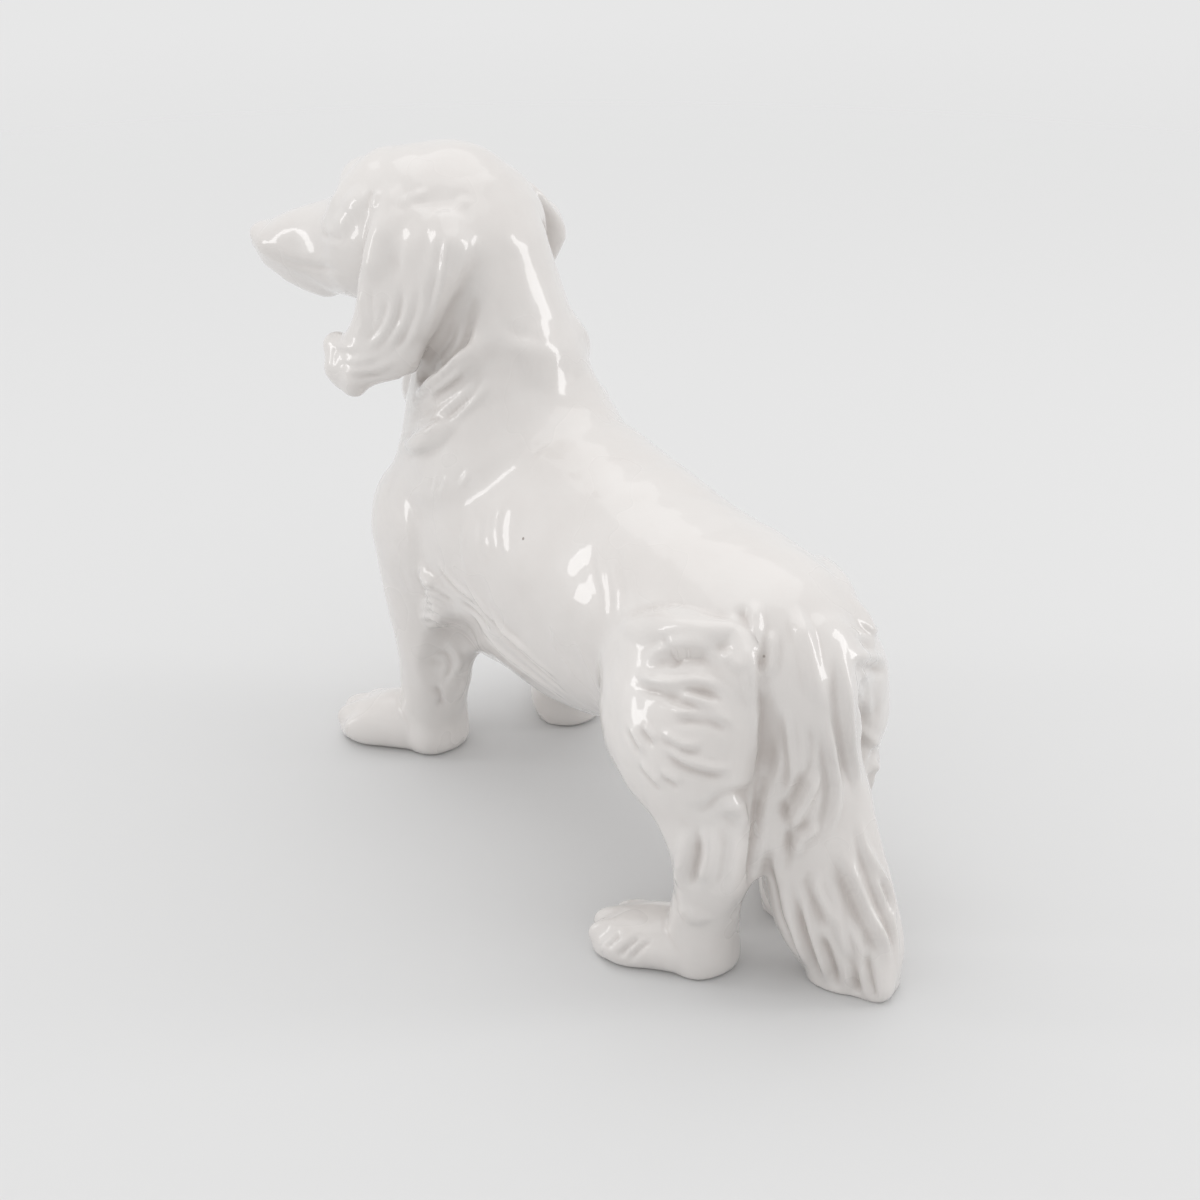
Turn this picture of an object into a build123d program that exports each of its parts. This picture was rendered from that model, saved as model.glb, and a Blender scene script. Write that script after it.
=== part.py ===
"""A standing long-haired dachshund, slip-cast in white ware and glazed.

The figure is cast as nine pieces: a hollow torso, a hollow head with its neck, two ears, four legs that
are hollow down to the knee, and a tail. Each piece is trimmed to the piece that carries it and luted on
with slip before firing, so the fired figure has no moving part.
Millimetres. +X is the way the body faces, +Y is the dog's left, +Z is up. While it is drawn, X is counted
from the rump. At the end the figure is centred over the middle of its own footprint, on the ground.
"""

import os
from math import cos, radians, sin

from build123d import *

# Casting
wall = 4.5
air_hole_radius = 3.0
vent_radius = 2.5
section_points = 12

# Torso
torso_length = 232.0
torso_axis_height = 90.0
torso_depth = 98.0
torso_width = 84.0
belly_vent_share = 0.42

# Neck
neck_station_share = 0.75
neck_length = 74.0
neck_width = 66.0
neck_rise = 114.0
neck_side_set = 4.0
neck_lean = 18.0
neck_side_lean = 8.0

# Head
head_set = 22.0
head_side_set = 6.0
head_length = 104.0
head_height = 58.5
head_width = 60.0
head_turn = 33.0
head_back_share = 0.27
head_seat_share = 0.64

# Ears
ear_drop = 64.0
ear_sweep = 29.0
ear_length = 39.0
ear_thickness = 13.0
ear_right_swing = -5.0
ear_top_share = 0.735
ear_root_stand_share = 0.80
ear_flare_share = 0.33
ear_set_share = -0.065

# Legs
leg_lean = 12.0
knee_share = 0.35
foreleg_length = 54.0
foreleg_width = 41.0
foreleg_reach_share = 0.225
foreleg_left_station_share = 0.828
foreleg_right_station_share = 0.79
foreleg_stand_share = 0.69
foreleg_foot_share = 0.62
hindleg_length = 59.0
hindleg_width = 38.0
hindleg_reach_share = 0.306
hindleg_left_station_share = 0.108
hindleg_right_station_share = 0.138
hindleg_left_stand_share = 0.714
hindleg_right_stand_share = 0.643
hindleg_left_foot_share = 0.63
hindleg_right_foot_share = 0.40

# Paws
fore_paw_length = 47.0
fore_paw_width = 28.0
fore_paw_height = 19.0
fore_paw_turn = 40.0
hind_paw_length = 45.0
hind_paw_width = 26.0
hind_paw_height = 17.0
hind_paw_turn = 40.0
paw_heel_share = 0.24
paw_seat_share = 0.42

# Tail
tail_sweep = 32.0
tail_drift = -6.0
tail_twist = -46.0
tail_thickness = 26.0
tail_width = 39.0
tail_station_share = 0.095
tail_reach_share = 0.286

# Station along the torso, height of its middle, depth and width, from the rump to the chest
torso_shares = (
    (0.004, 1.078, 0.18, 0.21),
    (0.022, 1.06, 0.38, 0.44),
    (0.056, 1.05, 0.56, 0.64),
    (0.121, 1.04, 0.70, 0.82),
    (0.228, 1.035, 0.77, 0.895),
    (0.336, 1.03, 0.82, 0.91),
    (0.487, 1.005, 0.96, 0.955),
    (0.621, 1.02, 1.02, 0.98),
    (0.733, 1.0, 1.0, 1.0),
    (0.832, 0.956, 0.90, 0.975),
    (0.897, 0.933, 0.745, 0.86),
    (0.948, 0.922, 0.55, 0.655),
    (0.983, 0.922, 0.33, 0.38),
    (1.0, 0.922, 0.12, 0.14),
)
torso_cavity_rows = slice(2, -2)

# Height up the neck, lean of its middle, length and width, from inside the torso up into the skull
neck_shares = (
    (0.0, -0.2, 0.90, 0.92),
    (0.22, -0.05, 1.05, 1.03),
    (0.37, 0.0, 1.02, 1.0),
    (0.55, 0.08, 0.87, 0.86),
    (0.73, 0.34, 0.78, 0.79),
    (0.90, 0.70, 0.76, 0.77),
    (1.0, 0.95, 0.62, 0.64),
)

# Station along the head, its underside and top, and its width, from the back of the skull to the nose
head_shares = (
    (0.0, 0.29, 0.72, 0.58),
    (0.06, 0.15, 0.81, 0.80),
    (0.15, 0.09, 0.94, 0.93),
    (0.28, 0.03, 1.0, 1.0),
    (0.42, 0.01, 0.96, 0.97),
    (0.53, 0.01, 0.91, 0.87),
    (0.61, 0.02, 0.82, 0.74),
    (0.67, 0.04, 0.68, 0.60),
    (0.78, 0.085, 0.555, 0.48),
    (0.89, 0.145, 0.48, 0.40),
    (0.955, 0.20, 0.42, 0.32),
    (0.99, 0.25, 0.375, 0.21),
    (1.0, 0.29, 0.34, 0.10),
)
head_cavity_rows = slice(1, -4)

# Drop down the ear, sweep forwards, flare away from the skull, length and thickness
ear_shares = (
    (0.0, 0.0, 0.0, 0.50, 0.75),
    (0.08, 0.0, 0.4, 0.85, 0.92),
    (0.22, 0.10, 0.75, 1.0, 0.92),
    (0.40, 0.26, 0.9, 0.90, 0.92),
    (0.59, 0.44, 0.95, 0.80, 1.0),
    (0.76, 0.66, 1.0, 0.93, 1.08),
    (0.88, 0.82, 1.1, 0.90, 1.08),
    (0.96, 0.92, 1.15, 0.60, 0.85),
    (1.0, 1.0, 1.2, 0.25, 0.45),
)

# Height up the leg, lean forwards, lean outwards, length and width, from inside the torso to the ground
foreleg_shares = (
    (1.0, -0.67, -0.75, 0.56, 0.49),
    (0.92, -0.50, -0.42, 0.82, 0.80),
    (0.84, -0.42, -0.25, 0.93, 0.90),
    (0.70, -0.40, -0.04, 0.72, 0.78),
    (0.58, -0.45, 0.0, 0.63, 0.73),
    (0.48, -0.54, 0.0, 0.58, 0.69),
    (0.375, -0.67, 0.0, 0.52, 0.65),
    (0.23, -0.42, 0.0, 0.48, 0.61),
    (0.107, -0.17, 0.0, 0.46, 0.61),
    (0.0, 0.0, 0.0, 0.42, 0.55),
)
foreleg_cavity_rows = slice(0, 6)
hindleg_shares = (
    (1.0, 1.5, -1.33, 0.61, 0.42),
    (0.90, 1.17, -0.75, 0.88, 0.74),
    (0.81, 0.92, -0.33, 0.98, 0.95),
    (0.70, 0.75, 0.04, 1.0, 1.0),
    (0.60, 0.54, 0.17, 0.915, 0.95),
    (0.517, 0.0, 0.17, 0.68, 0.79),
    (0.44, -0.75, 0.17, 0.46, 0.66),
    (0.35, -0.83, 0.08, 0.41, 0.61),
    (0.233, -0.5, 0.04, 0.37, 0.58),
    (0.117, -0.17, 0.0, 0.39, 0.61),
    (0.0, 0.0, 0.0, 0.37, 0.58),
)
hindleg_cavity_rows = slice(0, 6)

# Station along the paw from its heel, top and width
paw_shares = (
    (0.0, 0.45, 0.40),
    (0.10, 0.78, 0.76),
    (0.30, 1.0, 0.94),
    (0.55, 0.97, 1.0),
    (0.78, 0.80, 0.97),
    (0.92, 0.60, 0.76),
    (1.0, 0.35, 0.38),
)

# Height up the tail, sweep backwards, drift to the side, twist, thickness and width, from root to ground
tail_shares = (
    (1.0, 0.0, 0.0, 0.0, 0.62, 0.41),
    (0.95, 0.28, 0.0, 0.0, 0.92, 0.62),
    (0.865, 0.45, 0.0, 0.0, 0.96, 0.69),
    (0.75, 0.52, 0.0, 0.0, 0.88, 0.69),
    (0.61, 0.48, -0.12, 0.17, 0.83, 0.82),
    (0.475, 0.55, -0.02, 0.39, 0.85, 0.94),
    (0.34, 0.67, 0.25, 0.61, 0.88, 0.97),
    (0.22, 0.78, 0.5, 0.78, 0.92, 1.0),
    (0.10, 0.91, 0.83, 0.91, 0.85, 0.92),
    (0.0, 1.0, 1.0, 1.0, 0.66, 0.74),
)

# Share of the way along a lock of hair, and its girth there
lock_depth_share = 0.84
lock_bed_share = 0.08
lock_shares = ((0.0, 0.24), (0.25, 0.82), (0.5, 1.0), (0.78, 0.74), (1.0, 0.24))

# Station and angle on the torso where a lock begins and where it ends, and its width: the tufts on the hips.
# The angle is counted from the dog's left, up over the back
torso_lock_shares = (
    (0.245, 22, 0.070, 46, 0.15),
    (0.090, 52, 0.030, 12, 0.12),
    (0.255, 158, 0.080, 134, 0.15),
    (0.095, 128, 0.032, 168, 0.12),
)

# Height and angle on the neck where a lock begins and where it ends, and its width: the ruff on both sides,
# the chest's locks and the tuft on the nape. The angle is counted from straight ahead, to the dog's left
neck_lock_shares = (
    (0.70, 150, 0.45, 80, 0.16),
    (0.43, 118, 0.29, 74, 0.16),
    (0.665, -134, 0.455, -80, 0.155),
    (0.42, -116, 0.29, -74, 0.16),
    (0.52, 40, 0.27, 22, 0.17),
    (0.52, -38, 0.27, -20, 0.17),
    (0.42, 2, 0.20, 0, 0.18),
    (0.66, 152, 0.60, 204, 0.12),
)


def heading(turn):
    """The level direction that is turned to the left of +X by an angle."""
    return Vector(cos(radians(turn)), sin(radians(turn)), 0)


def level(place, height, turn=0.0):
    """A level plane at a height, with its own X axis along a heading."""
    return Plane((place.X, place.Y, height), x_dir=heading(turn), z_dir=(0, 0, 1))


def upright(place, height, turn=0.0):
    """An upright plane that faces along a heading, with its own X axis to the heading's left."""
    return Plane((place.X, place.Y, height), x_dir=heading(turn + 90), z_dir=heading(turn))


def oval(plane, length, width, inset=0.0, twist=0.0):
    """A closed oval face through points at even angles, drawn in by an inset and twisted in its plane."""
    points = []
    for step in range(section_points):
        angle = radians(360 * step / section_points - twist)
        point = Vector((length / 2 - inset) * cos(angle), (width / 2 - inset) * sin(angle))
        points.append(point.rotate(Axis.Z, twist))
    with BuildSketch(plane) as section:
        with BuildLine():
            Spline(*points, periodic=True)
        make_face()
    return section.sketch


def between(rows, value):
    """A table's shares at a value of its first column, worked out between two of its rows."""
    for low, high in zip(rows, rows[1:]):
        if value <= high[0]:
            break
    way = (value - low[0]) / (high[0] - low[0])
    return [first + (second - first) * way for first, second in zip(low[1:], high[1:])]


def lock_sections(skin, start, end, width):
    """The ovals of a lock of hair that lies along a skin from one place on it to another."""

    def at(way):
        return skin(*(first + (second - first) * way for first, second in zip(start, end)))

    sections = []
    for way, girth in lock_shares:
        middle, place = at(way)
        ahead = (at(way + 0.02)[1] - at(way - 0.02)[1]).normalized()
        out = place - middle
        out = (out - ahead * out.dot(ahead)).normalized()
        plane = Plane(place - out * lock_bed_share * width, x_dir=out, z_dir=ahead)
        sections.append(oval(plane, girth * lock_depth_share * width, girth * width))
    return sections


# Torso
def torso_skin(station, angle):
    """The torso's middle at a station, and the place on its skin at an angle."""
    rise, depth, width = between(torso_shares, station)
    middle = Vector(station * torso_length, 0, rise * torso_axis_height)
    across = width * torso_width / 2 * cos(radians(angle))
    return middle, middle + Vector(0, across, depth * torso_depth / 2 * sin(radians(angle)))


def torso_sections(rows, inset=0.0):
    return [
        oval(
            upright(Vector(station * torso_length, 0), rise * torso_axis_height),
            width * torso_width,
            depth * torso_depth,
            inset,
        )
        for station, rise, depth, width in rows
    ]


neck_root = Vector(neck_station_share * torso_length, neck_side_set)

with BuildPart() as torso_form:
    loft(sections=torso_sections(torso_shares))
    for station, angle, last_station, last_angle, width in torso_lock_shares:
        loft(sections=lock_sections(torso_skin, (station, angle), (last_station, last_angle),
                                    width * torso_width))

with BuildPart() as torso:
    add(torso_form.part)
    loft(sections=torso_sections(torso_shares[torso_cavity_rows], wall), mode=Mode.SUBTRACT)
    with Locations((belly_vent_share * torso_length, 0, torso_axis_height - torso_depth / 2)):
        Cylinder(vent_radius, torso_depth / 2, mode=Mode.SUBTRACT)
    with Locations((neck_root.X, neck_root.Y, torso_axis_height + torso_depth / 2)):
        Cylinder(air_hole_radius, torso_depth / 2, mode=Mode.SUBTRACT)
torso.part.label = "torso"


# Head and neck
def neck_skin(rise, angle):
    """The neck's middle at a height, and the place on its skin at an angle."""
    lean, length, width = between(neck_shares, rise)
    middle = neck_root + Vector(neck_lean * lean, neck_side_lean * lean, torso_axis_height + rise * neck_rise)
    along = length * neck_length / 2 * cos(radians(angle))
    return middle, middle + Vector(along, width * neck_width / 2 * sin(radians(angle)))


def neck_sections(inset=0.0):
    return [
        oval(
            level(neck_root + Vector(neck_lean, neck_side_lean) * lean, torso_axis_height + rise * neck_rise),
            length * neck_length,
            width * neck_width,
            inset,
        )
        for rise, lean, length, width in neck_shares
    ]


head_centre = neck_root + Vector(head_set, head_side_set)
head_base_height = torso_axis_height + head_seat_share * neck_rise
head_heading = heading(head_turn)


def head_sections(rows, inset=0.0):
    return [
        oval(
            upright(
                head_centre + head_heading * (station - head_back_share) * head_length,
                head_base_height + (low + high) / 2 * head_height,
                head_turn,
            ),
            width * head_width,
            (high - low) * head_height,
            inset,
        )
        for station, low, high, width in rows
    ]


with BuildPart() as head_form:
    loft(sections=head_sections(head_shares))
    loft(sections=neck_sections())
    for rise, angle, last_rise, last_angle, width in neck_lock_shares:
        loft(sections=lock_sections(neck_skin, (rise, angle), (last_rise, last_angle), width * neck_width))

with BuildPart() as head_and_neck:
    add(head_form.part)
    loft(sections=head_sections(head_shares[head_cavity_rows], wall), mode=Mode.SUBTRACT)
    loft(sections=neck_sections(wall), mode=Mode.SUBTRACT)
    add(torso_form.part, mode=Mode.SUBTRACT)
head_and_neck.part.label = "head_and_neck"


# Ears
def make_ear(label, side, swing):
    """A flat hanging ear on one side of the head, trimmed to the skull that it is luted to."""
    outward = heading(head_turn + 90) * side
    sections = []
    for drop, sweep, flare, length, thickness in ear_shares:
        along = ear_set_share * head_length + sweep * ear_sweep + swing
        out = (ear_root_stand_share + flare * ear_flare_share) * head_width / 2
        height = head_base_height + ear_top_share * head_height - drop * ear_drop
        place = head_centre + head_heading * along + outward * out
        sections.append(oval(level(place, height, head_turn), length * ear_length, thickness * ear_thickness))
    with BuildPart() as ear:
        loft(sections=sections)
        add(head_form.part, mode=Mode.SUBTRACT)
    ear.part.label = label
    return ear.part


# Legs
def leg_sections(rows, foot, side, height, hip_stand, length, width, inset=0.0):
    sections = []
    for rise, lean, spread, fore, breadth in rows:
        carry = min(1, rise / knee_share)
        stand = abs(foot.Y) + carry * (hip_stand - abs(foot.Y)) + spread * leg_lean
        place = Vector(foot.X + lean * leg_lean, side * stand)
        sections.append(oval(level(place, rise * height), fore * length, breadth * width, inset))
    return sections


def paw_sections(foot, turn, length, width, height):
    """A paw's ovals along its own heading. Each dips below the ground, where the paw is cut flat."""
    sections = []
    for station, top, breadth in paw_shares:
        place = foot + heading(turn) * (station - paw_heel_share) * length
        seat = paw_seat_share * top * height
        sections.append(oval(upright(place, seat, turn), breadth * width, 2 * (top * height - seat)))
    return sections


def make_leg(label, shares, cavity_rows, side, foot, height, hip_stand, size, paw, turn):
    """A leg with its paw, flat underneath and trimmed to the torso that it is luted to."""
    with BuildPart() as leg:
        loft(sections=leg_sections(shares, foot, side, height, hip_stand, *size))
        loft(sections=paw_sections(foot, side * turn, *paw))
        split(bisect_by=Plane.XY, keep=Keep.TOP)
        loft(
            sections=leg_sections(shares[cavity_rows], foot, side, height, hip_stand, *size, inset=wall),
            mode=Mode.SUBTRACT,
        )
        add(torso_form.part, mode=Mode.SUBTRACT)
    leg.part.label = label
    return leg.part


def make_foreleg(label, side, station_share):
    return make_leg(
        label,
        foreleg_shares,
        foreleg_cavity_rows,
        side,
        Vector(station_share * torso_length, side * foreleg_foot_share * torso_width / 2),
        torso_axis_height + foreleg_reach_share * torso_depth,
        foreleg_stand_share * torso_width / 2,
        (foreleg_length, foreleg_width),
        (fore_paw_length, fore_paw_width, fore_paw_height),
        fore_paw_turn,
    )


def make_hindleg(label, side, station_share, stand_share, foot_share):
    return make_leg(
        label,
        hindleg_shares,
        hindleg_cavity_rows,
        side,
        Vector(station_share * torso_length, side * foot_share * torso_width / 2),
        torso_axis_height + hindleg_reach_share * torso_depth,
        stand_share * torso_width / 2,
        (hindleg_length, hindleg_width),
        (hind_paw_length, hind_paw_width, hind_paw_height),
        hind_paw_turn,
    )


# Tail
tail_root = Vector(tail_station_share * torso_length, 0)
tail_height = torso_axis_height + tail_reach_share * torso_depth

with BuildPart() as tail:
    loft(
        sections=[
            oval(
                level(tail_root + Vector(-sweep * tail_sweep, drift * tail_drift), rise * tail_height),
                thickness * tail_thickness,
                width * tail_width,
                twist=twist * tail_twist,
            )
            for rise, sweep, drift, twist, thickness, width in tail_shares
        ]
    )
    split(bisect_by=Plane.XY, keep=Keep.TOP)
    add(torso_form.part, mode=Mode.SUBTRACT)
tail.part.label = "tail"

pieces = [
    torso.part,
    head_and_neck.part,
    make_ear("ear_left", 1, 0),
    make_ear("ear_right", -1, ear_right_swing),
    make_foreleg("foreleg_left", 1, foreleg_left_station_share),
    make_foreleg("foreleg_right", -1, foreleg_right_station_share),
    make_hindleg("hindleg_left", 1, hindleg_left_station_share, hindleg_left_stand_share,
                 hindleg_left_foot_share),
    make_hindleg("hindleg_right", -1, hindleg_right_station_share, hindleg_right_stand_share,
                 hindleg_right_foot_share),
    tail.part,
]

# The figure stands over the middle of its footprint
footprint = Compound(children=[piece.moved(Location()) for piece in pieces]).bounding_box()
centring = Location((-footprint.center().X, -footprint.center().Y, -footprint.min.Z))

os.makedirs("parts", exist_ok=True)
for piece in pieces:
    piece.move(centring)
    export_step(piece, f"parts/{piece.label}.step")
    print(piece.label, len(piece.solids()), round(piece.volume), piece.bounding_box().size)
print("figure", footprint.size, "moved by", centring.position)
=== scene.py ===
"""A standing long-haired dachshund in white glaze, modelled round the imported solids.

The solids are blended into one body of clay, the face, paws and locks are worked into it, and the body
is cut back into the pieces that the figure is put together from. Lengths are in millimetres until the
meshes are made. The datum is on the ground under the torso: X runs to the chest, Y to the dog's left.
"""
import math

import bpy
import numpy as np
import openvdb
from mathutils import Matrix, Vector


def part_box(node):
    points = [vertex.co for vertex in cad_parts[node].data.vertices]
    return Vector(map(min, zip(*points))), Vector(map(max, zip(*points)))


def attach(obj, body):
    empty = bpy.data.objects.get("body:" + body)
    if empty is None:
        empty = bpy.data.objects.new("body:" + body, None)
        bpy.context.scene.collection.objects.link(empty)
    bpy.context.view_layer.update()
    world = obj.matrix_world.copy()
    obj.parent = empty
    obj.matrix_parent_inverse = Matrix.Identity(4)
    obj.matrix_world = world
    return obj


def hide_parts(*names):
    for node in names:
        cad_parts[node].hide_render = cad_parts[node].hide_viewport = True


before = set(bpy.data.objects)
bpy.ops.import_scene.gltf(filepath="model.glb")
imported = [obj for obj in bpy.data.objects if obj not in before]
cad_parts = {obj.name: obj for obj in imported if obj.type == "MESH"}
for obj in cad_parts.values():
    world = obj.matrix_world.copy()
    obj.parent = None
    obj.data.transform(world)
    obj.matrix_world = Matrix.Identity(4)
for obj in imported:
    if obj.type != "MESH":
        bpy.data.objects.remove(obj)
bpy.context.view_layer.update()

MM = 0.001
torso_low, torso_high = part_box("torso")
RUMP_X = -107.07
DATUM = np.array([torso_low.x / MM - RUMP_X, (torso_low.y + torso_high.y) / 2 / MM, 0.0])
UP = np.array([0.0, 0.0, 1.0])

# The camera stands where the photograph was taken from.
CAMERA_HEADING = 56.0
CAMERA_ELEVATION = 26.0
CAMERA_TARGET = np.array([5.8, 4.9, 84.2])
CAMERA_DISTANCE = 700.0
LENS = 63.0
SENSOR = 36.0
PHOTO_SIDE = 1200.0

heading = math.radians(CAMERA_HEADING)
elevation = math.radians(CAMERA_ELEVATION)
view_right = np.array([-math.cos(heading), -math.sin(heading), 0.0])
view_away = np.array([math.sin(heading), -math.cos(heading), 0.0])
view_forward = view_away * math.cos(elevation) - UP * math.sin(elevation)
view_up = np.cross(view_right, view_forward)
camera_place = CAMERA_TARGET - view_forward * CAMERA_DISTANCE

# The head's own directions, and the paws'.
HEAD_CENTRE = np.array([88.0, 10.0, 0.0])
HEAD_TURN = math.radians(33.0)
head_along = np.array([math.cos(HEAD_TURN), math.sin(HEAD_TURN), 0.0])
head_side = np.array([-math.sin(HEAD_TURN), math.cos(HEAD_TURN), 0.0])
PAW_TURN = math.radians(40.0)

# The block of clay that the field covers.
VOXEL = 0.85
BAND = 14
CLAY_LOW = np.array([-152.0, -84.0, -8.0])
CLAY_HIGH = np.array([186.0, 86.0, 232.0])
SHAPE = tuple(np.ceil((CLAY_HIGH - CLAY_LOW) / VOXEL).astype(int))
FAR = BAND * VOXEL
BAND_EDGE = 0.95 * FAR


def node_field(node):
    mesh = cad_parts[node].data
    mesh.calc_loop_triangles()
    spots = np.empty(len(mesh.vertices) * 3, np.float32)
    mesh.vertices.foreach_get("co", spots)
    corners = np.empty(len(mesh.loop_triangles) * 3, np.int32)
    mesh.loop_triangles.foreach_get("vertices", corners)
    spots = spots.reshape(-1, 3) / MM - DATUM - CLAY_LOW
    grid = openvdb.FloatGrid.createLevelSetFromPolygons(
        spots.astype(np.float32), triangles=corners.reshape(-1, 3).astype(np.uint32),
        transform=openvdb.createLinearTransform(voxelSize=VOXEL), halfWidth=BAND)
    field = np.full(SHAPE, FAR, np.float32)
    grid.copyToArray(field)
    return field


def smooth_union(first, second, reach):
    nearest = np.minimum(first, second)
    blend = np.maximum(reach - np.abs(first - second), 0.0) ** 2 / (4 * reach)
    return nearest - np.where(nearest < BAND_EDGE, blend, 0.0)


# How softly each piece runs into the body, in the order that they are luted on.
LUTING = (
    ("torso", 0.0), ("head_and_neck", 14.0), ("foreleg_left", 10.0), ("foreleg_right", 10.0),
    ("hindleg_left", 8.0), ("hindleg_right", 8.0), ("tail", 8.0), ("ear_left", 4.0), ("ear_right", 4.0),
)
PIECES = tuple(name for name, reach in LUTING)


def grow(mask):
    grown = mask.copy()
    for axis in range(3):
        ahead = [slice(None)] * 3
        behind = [slice(None)] * 3
        ahead[axis] = slice(1, None)
        behind[axis] = slice(None, -1)
        grown[tuple(ahead)] |= mask[tuple(behind)]
        grown[tuple(behind)] |= mask[tuple(ahead)]
    return grown


def least_in_cells(field, step):
    cells = [size // step for size in field.shape]
    return field.reshape(cells[0], step, cells[1], step, cells[2], step).min(axis=(1, 3, 5))


def spread_out(mask, times):
    for axis in range(3):
        mask = mask.repeat(times, axis)
    return mask


# Hollows are looked for in coarse cells, and filled in fine ones.
COARSE = 4
FINE = 2


def fill_hollows(clay, seal=3.2, skin_deep=-1.2):
    """Fills the cast hollows, so that carving never breaks through a wall."""
    part = clay[tuple(slice(0, size // COARSE * COARSE) for size in SHAPE)]
    clear = least_in_cells(part, COARSE) > seal
    outside = np.zeros_like(clear)
    outside[0], outside[-1] = clear[0], clear[-1]
    outside[:, 0], outside[:, -1] = clear[:, 0], clear[:, -1]
    outside[:, :, -1] = clear[:, :, -1]
    count = 0
    while outside.sum() > count:
        count = outside.sum()
        for repeat in range(8):
            outside = grow(outside) & clear
    hollow = spread_out(clear & ~outside, COARSE // FINE)
    room = least_in_cells(part, FINE) > skin_deep
    for repeat in range(4):
        hollow |= grow(hollow) & room
    part[spread_out(grow(hollow), FINE)] = -FAR


def blend_pieces():
    owner = np.zeros(SHAPE, np.int8)
    clay = node_field(PIECES[0])
    nearest = clay.copy()
    for index, (name, reach) in enumerate(LUTING[1:], 1):
        if name == "ear_left":
            fill_hollows(clay)
        field = node_field(name)
        owner[field < nearest] = index
        nearest = np.minimum(nearest, field)
        clay = smooth_union(clay, field, reach)
    return clay, owner


clay, owner = blend_pieces()


def take(field, places):
    """The field's values at places, worked out between its grid's points."""
    spot = np.clip((places - CLAY_LOW) / VOXEL, 0, np.array(SHAPE) - 1.001)
    low = spot.astype(int)
    share = spot - low
    total = np.zeros(len(places))
    for corner in range(8):
        pick = np.array([corner & 1, corner >> 1 & 1, corner >> 2 & 1])
        weight = np.prod(np.where(pick, share, 1 - share), axis=1)
        total += weight * field[tuple((low + pick).T)]
    return total


def unit(vectors):
    return vectors / np.maximum(np.linalg.norm(vectors, axis=-1, keepdims=True), 1e-9)


def outward(places):
    slope = np.zeros_like(places)
    for axis in range(3):
        step = np.zeros(3)
        step[axis] = VOXEL
        slope[:, axis] = take(clay, places + step) - take(clay, places - step)
    return unit(slope)


def settle(places):
    """Moves places onto the clay's skin."""
    for repeat in range(6):
        places = places - outward(places) * take(clay, places)[:, None]
    return places


# How a line of sight finds the clay: where it starts, how often and how far it steps, and when it is there.
RAY_START = 440.0
RAY_STEPS = 90
RAY_STRIDE = 0.9
RAY_CLOSE = 0.05
UNSET = 99.0


def rays(pixels):
    pixels = np.atleast_2d(np.array(pixels, float)) - PHOTO_SIDE / 2
    focal = LENS / SENSOR * PHOTO_SIDE
    return unit(view_forward + (pixels[:, :1] * view_right - pixels[:, 1:] * view_up) / focal)


def touch(pixels):
    """The places on the clay's skin that lie under pixels of the photograph."""
    aim = rays(pixels)
    reach = np.full(len(aim), RAY_START)
    best = reach.copy()
    least = np.full(len(aim), UNSET)
    for repeat in range(RAY_STEPS):
        gap = take(clay, camera_place + aim * reach[:, None])
        nearer = np.abs(gap) < least
        best[nearer] = reach[nearer]
        least[nearer] = np.abs(gap)[nearer]
        reach = reach + np.where(least < RAY_CLOSE, 0.0, gap * RAY_STRIDE)
    return settle(camera_place + aim * best[:, None])


def in_profile(pixel, side=0.0):
    """The place under a pixel on the plane that runs along the head, moved to its left by side."""
    aim = rays(pixel)[0]
    middle = HEAD_CENTRE + head_side * side
    return camera_place + aim * ((middle - camera_place) @ head_side) / (aim @ head_side)


# How far the right legs stand from the mirror images of the left ones.
FORE_SHIFT = np.array([-8.8, 0.0, 0.0])
HIND_SHIFT = np.array([6.9, 6.0, -5.0])


def mirror_head(places):
    return places - 2 * ((places - HEAD_CENTRE) @ head_side)[:, None] * head_side


def mirror_body(places):
    return places * np.array([1.0, -1.0, 1.0])


def mirror_fore(places):
    return mirror_body(places) + FORE_SHIFT


def mirror_hind(places):
    return mirror_body(places) + HIND_SHIFT


def on_floor(pixel, height):
    """The place under a pixel at a height over the floor."""
    aim = rays(pixel)[0]
    return camera_place + aim * (height - camera_place[2]) / aim[2]


# Forms in the clay.
def around(low, high):
    first = np.clip(np.floor((low - CLAY_LOW) / VOXEL).astype(int), 0, np.array(SHAPE) - 1)
    last = np.clip(np.ceil((high - CLAY_LOW) / VOXEL).astype(int) + 1, 1, SHAPE)
    lines = [CLAY_LOW[axis] + VOXEL * np.arange(first[axis], last[axis]) for axis in range(3)]
    part = tuple(slice(first[axis], last[axis]) for axis in range(3))
    return part, np.stack(np.meshgrid(*lines, indexing="ij"), -1)


def work(part, form, reach, carve=False):
    if carve:
        clay[part] = -smooth_union(-clay[part], form, reach)
    else:
        clay[part] = smooth_union(clay[part], form, reach)


def ball(centre, radii, axes=np.eye(3), reach=3.0, carve=False):
    radii = np.array(radii, float)
    spread = radii.max() + reach + 2
    part, places = around(centre - spread, centre + spread)
    local = (places - centre) @ np.array(axes).T
    first = np.linalg.norm(local / radii, axis=-1)
    second = np.maximum(np.linalg.norm(local / radii ** 2, axis=-1), 1e-6)
    work(part, (first * (first - 1) / second).astype(np.float32), reach, carve)


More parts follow.
